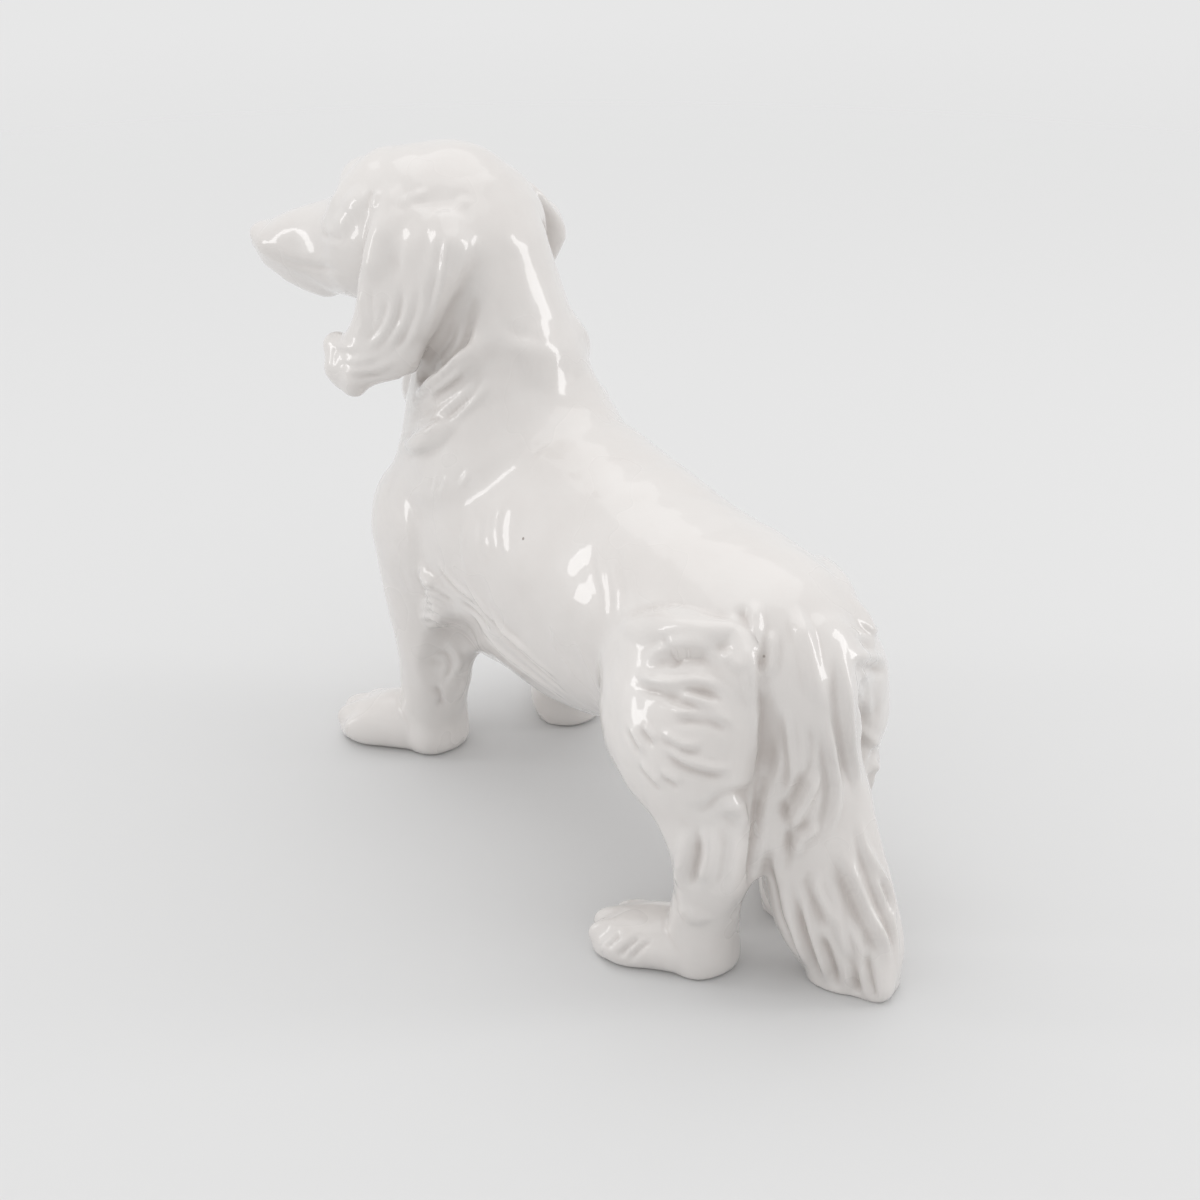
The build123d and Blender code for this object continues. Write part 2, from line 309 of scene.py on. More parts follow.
def roll(path, radii, reach=3.0, carve=False):
    """A roll of clay along a path, with a radius at each of its points."""
    path = np.array(path, float)
    spread = max(radii) + reach + 2
    part, places = around(path.min(axis=0) - spread, path.max(axis=0) + spread)
    form = np.full(places.shape[:3], UNSET)
    for start, end, wide, narrow in zip(path[:-1], path[1:], radii[:-1], radii[1:]):
        run = end - start
        share = np.clip((places - start) @ run / (run @ run), 0, 1)
        gap = np.linalg.norm(places - start - share[..., None] * run, axis=-1)
        form = np.minimum(form, gap - wide - share * (narrow - wide))
    work(part, form.astype(np.float32), reach, carve)


def grab(centre, radius, shift):
    """Pulls the clay round a place by a shift that fades out to the radius."""
    part, places = around(centre - radius, centre + radius)
    flat = places.reshape(-1, 3)
    share = np.clip(1 - np.sum((flat - centre) ** 2, axis=1) / radius ** 2, 0, 1) ** 2
    clay[part] = take(clay, flat - share[:, None] * shift).reshape(places.shape[:3])


SPONGE = 0.8


def soften_clay(path, radius, passes):
    """Smooths the clay round a path, as with a wet sponge."""
    path = np.array(path, float)
    part, places = around(path.min(axis=0) - radius, path.max(axis=0) + radius)
    gap = np.full(places.shape[:3], UNSET)
    for start, end in zip(path[:-1], path[1:]):
        run = end - start
        share = np.clip((places - start) @ run / (run @ run), 0, 1)
        gap = np.minimum(gap, np.linalg.norm(places - start - share[..., None] * run, axis=-1))
    weight = SPONGE * np.clip(1 - (gap / radius) ** 2, 0, 1)
    field = clay[part]
    for repeat in range(passes):
        mean = np.zeros_like(field)
        for axis in range(3):
            last = field.shape[axis] - 1
            mean += np.take(field, np.r_[0, np.arange(last)], axis)
            mean += np.take(field, np.r_[1:last + 1, last], axis)
        field = field + weight * (mean / 6 - field)
    clay[part] = field


head_axes = np.array([head_along, head_side, UP])

# The tuft on the nape is soft, and so are the ends of the ruff.
NAPE = ((496, 344), (520, 352), (545, 356), (562, 362))
NAPE_END = np.array([2.0, -14.0, -2.0])
RUFF_BACK = ((36.0, 2.0, 160.0), (44.0, -16.0, 164.0), (56.0, -23.0, 160.0))
nape = touch(NAPE)
soften_clay(np.concatenate([nape, nape[-1:] + NAPE_END]), 13.0, 14)
soften_clay(RUFF_BACK, 13.0, 30)
RUFF = ((478, 350), (456, 368), (436, 390), (424, 418))
soften_clay(touch(RUFF), 13.0, 9)

# The skull runs into the neck without an edge.
SKULL_BACK = ((61.0, 19.0, 203.0), (59.0, 10.0, 203.0), (66.0, -4.0, 203.0), (76.0, -12.0, 201.0))
soften_clay(SKULL_BACK, 15.0, 70)

# The vent under the belly goes no deeper than the wall.
VENT_PLUG = np.array([-10.5, 0.0, 53.6])
ball(VENT_PLUG, (4.6, 4.6, 4.2), reach=0.5)

# The ear's curl: less wide below, fuller at its upper corner, with a drop at its lowest point.
EAR_CURL = (323, 352)
EAR_FOOT = (384, 394)
EAR_CORNER = (334, 343)
EAR_DROP = ((356, 376), (354, 386), (353, 391))
ear_curl, ear_foot = touch([EAR_CURL, EAR_FOOT])
grab(ear_curl, 22.0, 2.0 * view_right)
grab(ear_foot, 20.0, 3.4 * view_up)
ear_corner = touch([EAR_CORNER])[0]
ball(ear_corner + 4.2 * view_forward, (5.0, 5.0, 5.0), reach=4.0)
EAR_UNDERSIDE = (333, 371)
grab(touch([EAR_UNDERSIDE])[0], 14.0, 2.6 * view_up + 0.8 * view_right)
ear_drop = touch(EAR_DROP) + 3.0 * view_forward
roll(ear_drop, (4.0, 3.2, 2.0), 3.0)

# The nose and jaw.
NOSE = (263, 234)
CHIN = ((274, 256), (296, 268), (328, 280))
nose = in_profile(NOSE)
ball(nose, (4.6, 5.6, 4.4), head_axes, 3.0)
for side in (-1, 1):
    ball(nose + 3.6 * head_along + side * 3.0 * head_side - 0.4 * UP, (1.8, 1.4, 1.1), head_axes, 0.8, True)
    ball(nose + 2.2 * head_along + side * 5.2 * head_side - 1.4 * UP, (2.6, 1.1, 0.8), head_axes, 0.8, True)
ball(nose + 4.8 * head_along - 3.0 * UP, (1.6, 0.6, 2.6), head_axes, 1.0, True)
roll([in_profile(pixel) for pixel in CHIN], (4.4, 5.4, 5.6), 6.0)

# The forehead, and on both sides the cheek, brow, tear ridge, eye and lids.
BROW = (356, 204)
EYE = (343, 224)
TEAR_RIDGE = ((336, 200), (324, 222))
CROWN_TUFT = (386, 166)
FOREHEAD = (361, 176)
CHEEK_FOLD = ((388, 206), (379, 232), (375, 262))
UPPER_LID = ((-5.0, -0.6), (-3.0, 2.2), (0.0, 3.1), (3.0, 2.4), (5.4, 0.0))
LOWER_LID = ((-4.8, -1.0), (-2.4, -2.9), (0.4, -3.3), (3.0, -2.5), (5.2, -0.4))
eye_spots = touch([EYE, BROW, *TEAR_RIDGE, *CHEEK_FOLD])
ball(in_profile(FOREHEAD), (6.0, 10.0, 6.2), head_axes, 2.0)
ball(in_profile(CROWN_TUFT), (6.0, 8.0, 5.8), head_axes, 2.0)
for spots in (eye_spots, mirror_head(eye_spots)):
    eye, brow, tear_high, tear_low = spots[:4]
    out = outward(spots)
    roll(spots[4:] - 4.4 * out[4:], (5.0, 5.6, 4.6), 5.0)
    ball(brow - 3.2 * out[1], (6.4, 5.0, 4.4), head_axes, 4.0)
    roll([tear_high - 1.9 * out[2], tear_low - 1.9 * out[3]], (2.6, 2.2), 3.0)
    ball(eye + 1.4 * out[0], (5.6, 2.8, 4.2), head_axes, 2.4, True)
    ball(eye - 2.7 * out[0], (4.6, 4.2, 4.0), head_axes, 1.0)
    roll([eye + along * head_along + up * UP - 0.3 * out[0] for along, up in UPPER_LID],
         (0.4, 0.7, 0.8, 0.7, 0.4), 1.2)
    roll([eye + along * head_along + up * UP - 0.7 * out[0] for along, up in LOWER_LID],
         (0.3, 0.5, 0.6, 0.5, 0.3), 1.2)
    soften_clay([eye - 3.0 * head_along, eye + 3.0 * head_along], 10.0, 16)

# The gap behind each ear.
EAR_GAP = ((470, 248), (464, 276), (457, 304), (447, 332), (431, 356), (417, 376))
EAR_BACK = ((447, 222), (450, 244), (440, 270), (429, 300), (417, 330))
GAP_EDGE = ((482, 262), (477, 298), (468, 328), (448, 356))
ear_back = touch(EAR_BACK)
ear_back -= 3.4 * outward(ear_back)
ear_gap = touch(EAR_GAP)
roll(ear_gap + 0.5 * outward(ear_gap) - 2.5 * head_along, (2.4, 4.0, 5.4, 5.8, 4.8, 2.4), 2.5, True)
roll(ear_back, (4.6, 6.2, 6.0, 5.4, 4.4), 3.0)
soften_clay(touch(GAP_EDGE), 8.0, 10)
far_gap = mirror_head(ear_gap)
roll(far_gap + 0.5 * outward(far_gap) - 3.5 * head_along, (0.8, 2.0, 3.0, 4.4, 4.6, 3.0), 2.5, True)

# The lobe of the right ear, which shows behind the neck.
FAR_LOBE = ((546, 214), (552, 236), (546, 258))
FAR_LOBE_TOP = (552, 190)
far_lobe_top = in_profile(FAR_LOBE_TOP, -31.0)
grab(far_lobe_top, 17.0, -6.5 * view_right - 3.0 * view_up)
roll([in_profile(pixel, -34.0) for pixel in FAR_LOBE], (4.2, 4.4, 3.6), 6.0)

# The tail lies against the left hock, and the heels are slim.
TAIL_TOUCH = ((754, 800), (753, 842), (752, 868))
tail_touch = touch(TAIL_TOUCH) + 4.0 * view_forward
roll(tail_touch, (5.0, 5.0, 3.0), 5.0)
HEELS = ((722, 962), (457, 742))
for heel in touch(HEELS):
    grab(heel, 16.0, -2.4 * view_right + 0.6 * UP)

# Each elbow has a pad of hair, and the leg is hollow below it.
ELBOW_PAD = ((426, 574), (436, 590), (443, 606), (434, 620))
ELBOW_HOLLOW = ((472, 624), (450, 642), (438, 666), (438, 690))
elbow_pad, elbow_hollow = touch(ELBOW_PAD), touch(ELBOW_HOLLOW)
far_elbow = settle(mirror_fore(elbow_pad)), settle(mirror_fore(elbow_hollow))
for pad, hollow in ((elbow_pad, elbow_hollow), far_elbow):
    roll(pad - 4.2 * outward(pad), (5.4, 7.4, 8.0, 6.8), 2.0)
    roll(hollow + 6.0 * outward(hollow), (6.8, 9.8, 9.8, 6.4), 2.6, True)

# The right haunch is narrower than its solid, and hollow beside the tail.
HAUNCH_TOP = ((-78.0, -24.0, 120.0), (-92.0, -27.0, 106.0), (-97.0, -30.0, 88.0))
HAUNCH_LOW = np.array([-98.0, -33.0, 45.0])
HAUNCH_MIDDLE = np.array([-93.0, -37.0, 72.0])
soften_clay(HAUNCH_TOP, 17.0, 30)
grab(HAUNCH_LOW, 27.0, -7.0 * view_right + 2.0 * UP)
grab(HAUNCH_MIDDLE, 24.0, -1.0 * view_right)
HAUNCH_HOLLOW = ((862, 674), (866, 694), (870, 716))
haunch_hollow = touch(HAUNCH_HOLLOW)
roll(haunch_hollow + 2.6 * outward(haunch_hollow), (4.2, 5.4, 4.2), 2.5, True)

# The left hock is rounded, and the tail's last lock runs out along the floor.
HOCK = ((744, 872), (736, 900), (724, 926), (718, 950))
soften_clay(touch(HOCK), 11.0, 24)
TAIL_LOCK = ((866, 930), (874, 958))
TAIL_TIP = (879, 987)
tail_lock = touch(TAIL_LOCK) + 4.0 * view_forward
roll([*tail_lock, on_floor(TAIL_TIP, 4.5)], (5.0, 5.5, 4.5), 5.0)

# Four toes on each paw: where the paw stands, its side, and its length, width and height.
FORE_PAW = (47.0, 28.0, 19.0)
HIND_PAW = (45.0, 26.0, 17.0)
PAWS = ((84.1, 26.0, 1, FORE_PAW), (75.3, -26.0, -1, FORE_PAW),
        (-82.9, 26.5, 1, HIND_PAW), (-76.0, -16.8, -1, HIND_PAW))
# Each toe's place across and along the paw, and its bulk.
TOES = ((-0.36, 0.47, 0.90), (-0.13, 0.56, 1.0), (0.12, 0.56, 1.0), (0.35, 0.46, 0.90))
for foot_x, foot_y, side, (length, width, height) in PAWS:
    toward = np.array([math.cos(PAW_TURN), side * math.sin(PAW_TURN), 0.0])
    across = np.array([-toward[1], toward[0], 0.0])
    foot = np.array([foot_x, foot_y, 0.0])
    for over, reach_share, bulk in TOES:
        toe = foot + toward * length * reach_share + across * width * over + UP * 0.36 * height
        spread = unit(np.array([toward + across * over * 0.5, across - toward * over * 0.5, UP]))
        ball(toe, (0.24 * length * bulk, 0.145 * width, 0.36 * height * bulk), spread, 1.6)

# Nothing goes below the floor.
floor_row = int(round(-CLAY_LOW[2] / VOXEL))
clay[:, :, :floor_row] = np.maximum(clay[:, :, :floor_row], VOXEL)


# The skin.
def skin():
    grid = openvdb.FloatGrid(FAR)
    grid.transform = openvdb.createLinearTransform(voxelSize=VOXEL)
    grid.copyFromArray(clay)
    spots, faces = grid.convertToQuads(0.0)
    return spots.astype(np.float64) + CLAY_LOW, faces.astype(np.int64)


def components(count, first, second):
    """The lowest number in each member's group, where pairs of members join into groups."""
    label = np.arange(count)
    while True:
        newer = label.copy()
        np.minimum.at(newer, first, label[second])
        np.minimum.at(newer, second, label[first])
        newer = newer[newer]
        if (newer == label).all():
            return label
        label = newer


def main_shell(spots, faces):
    """Leaves out bubbles that are closed off inside the body."""
    label = components(len(spots), faces.ravel(), np.roll(faces, -1, axis=1).ravel())
    kept = np.bincount(label).argmax()
    faces = faces[label[faces[:, 0]] == kept]
    used = np.unique(faces)
    number = np.full(len(spots), -1)
    number[used] = np.arange(len(used))
    return spots[used], number[faces]


def vertex_normals(spots):
    across = spots[quads[:, 2]] - spots[quads[:, 0]]
    along = spots[quads[:, 3]] - spots[quads[:, 1]]
    faces = np.cross(across, along)
    total = np.zeros_like(spots)
    for corner in range(4):
        for axis in range(3):
            total[:, axis] += np.bincount(quads[:, corner], faces[:, axis], len(spots))
    return unit(total)


def neighbour_mean(values):
    values = values.reshape(len(points), -1)
    total = np.zeros_like(values)
    number = np.zeros(len(points))
    for corner in range(4):
        here = quads[:, corner]
        number += np.bincount(here, minlength=len(points)) * 2
        for other in (quads[:, (corner + 1) % 4], quads[:, (corner + 3) % 4]):
            for axis in range(values.shape[1]):
                total[:, axis] += np.bincount(here, values[other, axis], len(points))
    return (total / number[:, None]).squeeze()


def piece_labels(places):
    spot = np.clip(((places - CLAY_LOW) / VOXEL).round().astype(int), 0, np.array(SHAPE) - 1)
    return owner[tuple(spot.T)]


points, quads = main_shell(*skin())
for repeat in range(3):
    points = points + 0.5 * (neighbour_mean(points) - points)
normals = vertex_normals(points)
relief = np.zeros(len(points))


# Strokes of the modelling tool: ridges stand up, grooves go in.
def even_path(corners, step=0.6):
    corners = np.array(corners, float)
    ends = np.concatenate([[0], np.cumsum(np.linalg.norm(np.diff(corners, axis=0), axis=1))])
    count = max(int(ends[-1] / step), 2)
    shares = np.linspace(0, ends[-1], count)
    return np.stack([np.interp(shares, ends, corners[:, axis]) for axis in range(3)], 1)


def soften(corners, step):
    """A smooth line through the corners of a traced stroke."""
    corners = np.array(corners, float)
    line = []
    for index in range(len(corners) - 1):
        before = corners[max(index - 1, 0)]
        start, end = corners[index], corners[index + 1]
        after = corners[min(index + 2, len(corners) - 1)]
        count = max(int(np.linalg.norm(end - start) / step), 1)
        for share in np.arange(count) / count:
            line.append(0.5 * (2 * start + (end - before) * share
                               + (2 * before - 5 * start + 4 * end - after) * share ** 2
                               + (3 * start - before - 3 * end + after) * share ** 3))
    line.append(corners[-1])
    return np.array(line)


def bump(gap):
    return np.clip(1 - gap * gap, 0, 1) ** 2


def stroke(path, width, height, undercut=0.0):
    path = even_path(path)
    margin = width * (3 if undercut else 1)
    low, high = path.min(axis=0) - margin, path.max(axis=0) + margin
    near = np.flatnonzero(((points > low) & (points < high)).all(axis=1))
    if not len(near):
        return
    step = points[near][:, None] - path[None]
    gaps = np.linalg.norm(step, axis=2)
    closest = gaps.argmin(axis=1)
    gap = gaps[np.arange(len(near)), closest]
    share = closest / (len(path) - 1)
    taper = np.clip(np.minimum(share, 1 - share) / 0.3, 0, 1)
    taper = taper * taper * (3 - 2 * taper)
    total = height * bump(gap / width)
    if undercut:
        run = unit(np.gradient(path, axis=0))[closest]
        below = np.sum(np.cross(run, normals[near]) * step[np.arange(len(near)), closest], axis=1)
        total -= undercut * bump((below - 1.1 * width) / width) * (gap < 2.4 * width)
    relief[near] += taper * total


def traced(rows, mirror=None, bold=1.0, far_bold=1.0):
    """Strokes given as a width, a height, an undercut and a line of the photograph's pixels."""
    for width, height, undercut, pixels in rows:
        path = touch(soften(pixels, 4.0))
        stroke(path, width, height * bold, undercut * bold)
        if mirror:
            stroke(settle(mirror(path))[::-1], width, height * far_bold, undercut * far_bold)


def lay_hair(mask, flow, spacing, length, width, height, undercut, sway=0.25):
    """Locks that follow a flow over the part of the skin that a mask picks, a spacing apart."""
    places = chance.permutation(points[mask])
    starts = np.empty((0, 3))
    for place in places[:4000]:
        if not len(starts) or np.linalg.norm(starts - place, axis=1).min() > spacing:
            starts = np.vstack([starts, place])
    step = 2.0
    turn = chance.uniform(-sway, sway, len(starts))
    bend = chance.uniform(-sway, sway, len(starts))
    counts = np.maximum((length * chance.uniform(0.75, 1.25, len(starts)) / step).astype(int), 4)
    line = [settle(starts)]
    for index in range(counts.max()):
        out = outward(line[-1])
        ahead = np.broadcast_to(np.array(flow, float), out.shape)
        ahead = unit(ahead - out * np.sum(ahead * out, axis=1)[:, None])
        aside = np.cross(out, ahead)
        angle = turn + bend * np.cos(0.55 * index)
        ahead = ahead * np.cos(angle)[:, None] + aside * np.sin(angle)[:, None]
        line.append(settle(line[-1] + step * ahead))
    line = np.array(line)
    for index, count in enumerate(counts):
        bold = chance.uniform(0.7, 1.3)
        stroke(line[:count, index], width * chance.uniform(0.85, 1.2), height * bold, undercut * bold)


NECK_STROKES = (
    (2.4, 0.9, 0.5, ((466, 315), (457, 343), (442, 363), (431, 374))),
    (3.0, 1.2, 0.8, ((487, 337), (470, 350), (448, 365), (427, 382), (413, 400))),
    (2.8, 1.1, 0.8, ((481, 378), (466, 393), (446, 408), (422, 424))),
    (2.4, 0.9, 0.7, ((492, 378), (474, 402), (448, 428))),
    (2.4, 0.9, 0.6, ((440, 398), (426, 403), (410, 409))),
    (2.6, 1.0, 0.5, ((455, 412), (430, 428), (408, 438))),
    (3.6, 1.8, 1.0, ((436, 436), (415, 445), (398, 446))),
    (2.0, -0.7, 0.0, ((470, 372), (452, 386), (430, 396))),
    (3.0, -0.5, 0.0, ((496, 320), (512, 330), (530, 336), (548, 340))),
    (2.0, 0.5, 0.3, ((470, 470), (464, 480), (458, 490))),
    (1.6, 0.4, 0.3, ((447, 474), (443, 486), (440, 498))),
    (1.6, 0.4, 0.3, ((436, 476), (434, 487), (433, 495))),
    (1.6, 0.6, 0.4, ((472, 356), (457, 373), (438, 389), (420, 399))),
    (1.6, 0.6, 0.4, ((477, 367), (460, 385), (440, 401), (418, 415))),
    (1.5, 0.5, 0.3, ((483, 391), (467, 409), (446, 425), (430, 434))),
    (1.5, 0.5, 0.3, ((464, 346), (449, 366), (429, 385), (411, 397))),
)
EAR_STROKES = (
    (7.5, 1.1, 0.0, ((380, 205), (372, 232), (366, 262), (364, 296))),
    (7.0, 1.0, 0.0, ((436, 216), (424, 244), (414, 276), (404, 310))),
    (4.5, -0.6, 0.0, ((404, 214), (396, 246), (388, 282))),
    (2.4, 1.0, 0.8, ((452, 226), (447, 252), (442, 282), (433, 312), (422, 336))),
    (2.0, -0.7, 0.0, ((373, 286), (371, 304), (373, 320), (366, 336))),
    (2.0, 0.6, 0.0, ((362, 282), (360, 304), (362, 322), (354, 340))),
    (1.8, -0.6, 0.0, ((386, 296), (384, 314), (377, 330), (362, 344))),
    (2.4, 0.7, 0.3, ((393, 290), (392, 312), (382, 334), (362, 352))),
    (1.8, -0.6, 0.0, ((401, 276), (401, 300), (396, 322), (384, 342), (366, 358))),
    (2.4, 0.8, 0.3, ((411, 282), (408, 308), (400, 330), (386, 350))),
    (2.0, -0.8, 0.0, ((419, 268), (418, 296), (411, 320), (400, 342), (384, 360))),
    (2.2, 0.7, 0.3, ((430, 290), (424, 314), (413, 338), (398, 358))),
    (1.8, -0.6, 0.0, ((436, 268), (434, 292), (428, 314), (418, 336))),
    (2.0, 0.7, 0.4, ((338, 356), (352, 361), (368, 359), (382, 352))),
    (2.2, 0.8, 0.6, ((340, 367), (360, 371), (384, 366), (404, 356))),
    (2.0, -0.8, 0.0, ((347, 379), (362, 377), (384, 374), (402, 370))),
    (2.0, 0.7, 0.3, ((332, 342), (346, 347), (362, 347))),
    (1.8, -0.6, 0.0, ((334, 366), (333, 356), (337, 346))),
    (1.6, 0.5, 0.3, ((360, 366), (372, 372), (390, 372), (404, 366))),
)
HEAD_STROKES = (
    (2.6, -0.5, 0.0, ((262, 246), (275, 256), (296, 264), (318, 268), (338, 270), (350, 274))),
    (3.6, 0.4, 0.0, ((270, 243), (290, 254), (315, 259), (336, 260))),
    (2.4, 0.8, 0.5, ((380, 189), (375, 199), (374, 210))),
    (3.0, 0.6, 0.0, ((396, 206), (410, 198), (430, 192))),
    (3.0, 0.5, 0.0, ((455, 212), (463, 202), (469, 197))),
    (2.2, -0.6, 0.0, ((318, 232), (330, 238), (346, 238))),
)
ELBOW_STROKES = (
    (1.5, 0.4, 0.3, ((420, 586), (432, 585), (444, 591), (455, 600))),
    (1.5, 0.4, 0.3, ((418, 594), (431, 593), (443, 599), (453, 607))),
    (1.5, 0.4, 0.3, ((417, 602), (430, 600), (441, 606), (450, 613))),
    (1.5, 0.4, 0.3, ((417, 609), (429, 607), (439, 612), (447, 619))),
    (2.0, 0.6, 0.6, ((419, 620), (429, 617), (438, 620), (446, 626))),
    (3.2, 1.0, 0.0, ((419, 572), (428, 580), (436, 588))),
    (2.4, -0.9, 0.0, ((458, 600), (476, 616), (492, 632))),
    (2.0, 0.6, 0.4, ((436, 560), (456, 585), (480, 604))),
    (2.0, 0.6, 0.4, ((462, 575), (482, 606), (505, 632), (540, 660))),
    (2.0, 0.6, 0.5, ((484, 600), (504, 630), (530, 655), (560, 680))),
    (1.8, -0.6, 0.0, ((494, 628), (520, 655), (552, 682), (572, 696))),
    (2.0, 0.7, 0.4, ((480, 628), (504, 652), (534, 676), (566, 700))),
    (1.8, 0.6, 0.0, ((442, 642), (454, 648), (460, 662), (454, 678))),
    (1.8, -0.6, 0.0, ((432, 652), (446, 654), (450, 668), (444, 684))),
    (2.0, -0.8, 0.0, ((432, 684), (440, 695), (442, 710))),
    (2.0, 0.6, 0.0, ((468, 662), (464, 684), (456, 704))),
)
FLANK_STROKES = (
    (2.2, 0.35, 0.2, ((600, 530), (598, 560), (604, 590), (606, 620))),
    (2.0, 0.35, 0.2, ((612, 535), (612, 565), (616, 595), (616, 625))),
    (2.0, 0.35, 0.2, ((624, 540), (626, 570), (628, 600))),
    (2.4, 0.3, 0.2, ((486, 510), (484, 540), (488, 565))),
    (2.4, 0.3, 0.2, ((506, 500), (502, 530), (506, 556))),
    (2.4, 0.3, 0.2, ((466, 520), (462, 548), (468, 575))),
    (2.4, 0.3, 0.0, ((560, 440), (540, 455), (525, 480))),
    (2.4, 0.3, 0.0, ((545, 430), (530, 450), (520, 470))),
)
THIGH_STROKES = (
    (6.0, 1.6, 0.0, ((644, 618), (665, 627), (706, 631), (738, 632), (750, 650), (757, 690))),
    (3.4, 1.2, 0.8, ((640, 658), (658, 652), (678, 646), (706, 648), (728, 668))),
    (2.6, 1.0, 1.0, ((634, 672), (658, 682), (697, 681), (718, 687), (736, 702))),
    (2.6, 0.9, 0.9, ((652, 690), (676, 690), (704, 702), (730, 712))),
    (2.4, 0.8, 0.8, ((668, 712), (694, 712), (720, 717), (738, 728))),
    (2.4, 0.9, 0.9, ((664, 744), (686, 760), (712, 768), (734, 768))),
    (2.0, 0.8, 0.5, ((660, 730), (684, 744), (704, 743))),
    (2.0, 0.8, 0.5, ((628, 722), (637, 738), (646, 754))),
    (2.0, 0.7, 0.5, ((642, 722), (650, 732), (659, 742))),
    (2.0, 0.8, 0.5, ((640, 760), (652, 774), (667, 788))),
    (2.0, 0.7, 0.5, ((660, 770), (671, 776), (684, 784))),
    (3.0, 1.0, 0.0, ((740, 640), (746, 662), (752, 686), (758, 712), (758, 740))),
    (4.4, -2.0, 0.0, ((757, 668), (763, 700), (768, 735), (768, 757), (760, 790))),
    (3.4, -0.9, 0.0, ((762, 788), (740, 794), (720, 799), (704, 810), (680, 808))),
    (2.6, -1.8, 0.0, ((764, 770), (759, 800), (757, 830), (754, 856), (752, 884))),
    (2.0, -0.7, 0.0, ((662, 636), (676, 660), (664, 664))),
    (2.4, 0.8, 0.0, ((724, 650), (734, 662), (744, 672))),
)
TAIL_STROKES = (
    (3.0, 1.0, 0.7, ((752, 600), (757, 630), (760, 662))),
    (2.6, 0.9, 0.6, ((770, 628), (772, 655), (768, 680))),
    (4.0, 1.2, 0.0, ((793, 604), (806, 640), (814, 680), (820, 712))),
    (3.2, 1.2, 0.8, ((843, 640), (846, 695), (853, 750), (862, 802))),
    (2.8, 1.0, 0.7, ((824, 716), (832, 750), (837, 790), (832, 822), (822, 850))),
    (3.2, 1.4, 1.0, ((819, 768), (808, 796), (796, 816), (786, 836))),
    (2.6, 1.0, 0.6, ((821, 820), (812, 832), (800, 842), (794, 862))),
    (3.2, 1.5, 1.0, ((840, 846), (850, 870), (868, 912), (885, 944), (890, 970))),
    (2.6, 1.0, 0.7, ((822, 872), (816, 886), (826, 908), (836, 930))),
    (2.4, -1.3, 0.0, ((794, 896), (802, 926), (810, 956), (820, 986))),
    (2.4, -1.4, 0.0, ((818, 930), (830, 962), (838, 994))),
    (2.4, -1.3, 0.0, ((845, 946), (853, 976), (859, 1002))),
    (2.2, -1.3, 0.0, ((865, 948), (870, 980), (875, 1006))),
    (2.6, 1.0, 0.0, ((802, 880), (808, 920), (822, 960), (830, 992))),
    (2.6, 1.0, 0.0, ((836, 892), (840, 926), (848, 960), (850, 998))),
    (2.4, 0.9, 0.0, ((855, 922), (861, 950), (866, 990))),
    (2.2, 0.8, 0.5, ((865, 841), (877, 866), (890, 890), (896, 930))),
    (2.2, 0.8, 0.5, ((857, 811), (868, 857), (884, 900), (895, 934), (898, 970))),
    (2.4, 0.9, 0.5, ((782, 862), (786, 900), (796, 936), (806, 968))),
    (2.0, 0.7, 0.4, ((774, 830), (776, 866), (782, 906), (792, 940))),
    (2.0, -0.8, 0.0, ((778, 790), (786, 820), (788, 850), (784, 880))),
    (2.2, 0.8, 0.4, ((784, 700), (790, 740), (792, 776), (784, 806))),
    (2.0, -0.7, 0.0, ((806, 720), (812, 752), (806, 784))),
)
RUMP_STROKES = (
    (3.0, 1.4, 1.4, ((848, 652), (862, 656), (876, 658), (886, 662))),
    (3.0, 1.2, 1.0, ((858, 684), (866, 700), (870, 720), (882, 722))),
    (2.6, -1.2, 0.0, ((860, 668), (864, 684), (866, 704))),
    (2.6, 1.0, 0.6, ((864, 730), (874, 742), (884, 744))),
    (2.4, 0.8, 0.4, ((868, 770), (878, 764), (886, 752))),
    (1.8, 0.5, 0.3, ((846, 622), (858, 634), (874, 640))),
    (1.8, 0.5, 0.3, ((850, 606), (862, 620), (878, 632))),
)
LEG_STROKES = (
    (3.2, -1.4, 0.0, ((697, 830), (699, 848), (694, 870), (688, 888))),
    (3.0, 1.2, 0.0, ((709, 818), (707, 846), (704, 866), (697, 886))),
    (4.6, 1.3, 0.0, ((712, 806), (726, 804), (740, 812), (745, 838))),
    (3.6, 1.1, 0.0, ((686, 822), (686, 842), (682, 868), (680, 890))),
    (3.6, -0.9, 0.0, ((722, 824), (726, 846), (722, 872), (716, 896))),
    (6.0, 0.8, 0.0, ((680, 902), (691, 916), (706, 910))),
    (1.6, -0.9, 0.0, ((643, 934), (628, 947), (616, 960))),
    (1.6, -0.8, 0.0, ((655, 941), (643, 946), (628, 963))),
    (1.6, -0.8, 0.0, ((622, 930), (612, 940), (604, 950))),
)
traced(NECK_STROKES, bold=0.7)
traced(EAR_STROKES, mirror_head, 0.65, 0.65)
traced(HEAD_STROKES, mirror_head)
traced(ELBOW_STROKES, mirror_fore, 1.6, 1.4)
traced(FLANK_STROKES, mirror_body, 0.6, 0.6)
traced(THIGH_STROKES, bold=1.5)
traced(TAIL_STROKES, bold=1.7)
traced(RUMP_STROKES)
traced(LEG_STROKES, mirror_hind, 1.5, 1.2)

# The sides that the photograph doesn't show get hair of the same kind.
chance = np.random.default_rng(7)
part_of = piece_labels(points)
x, y, z = points.T
away = normals @ view_forward
HIDDEN_FROM = -0.05
HIDDEN_FADE = 0.35
hidden = away > HIDDEN_FROM
traced_relief = relief.copy()
head_skin = part_of == PIECES.index("head_and_neck")
torso_skin = part_of == PIECES.index("torso")
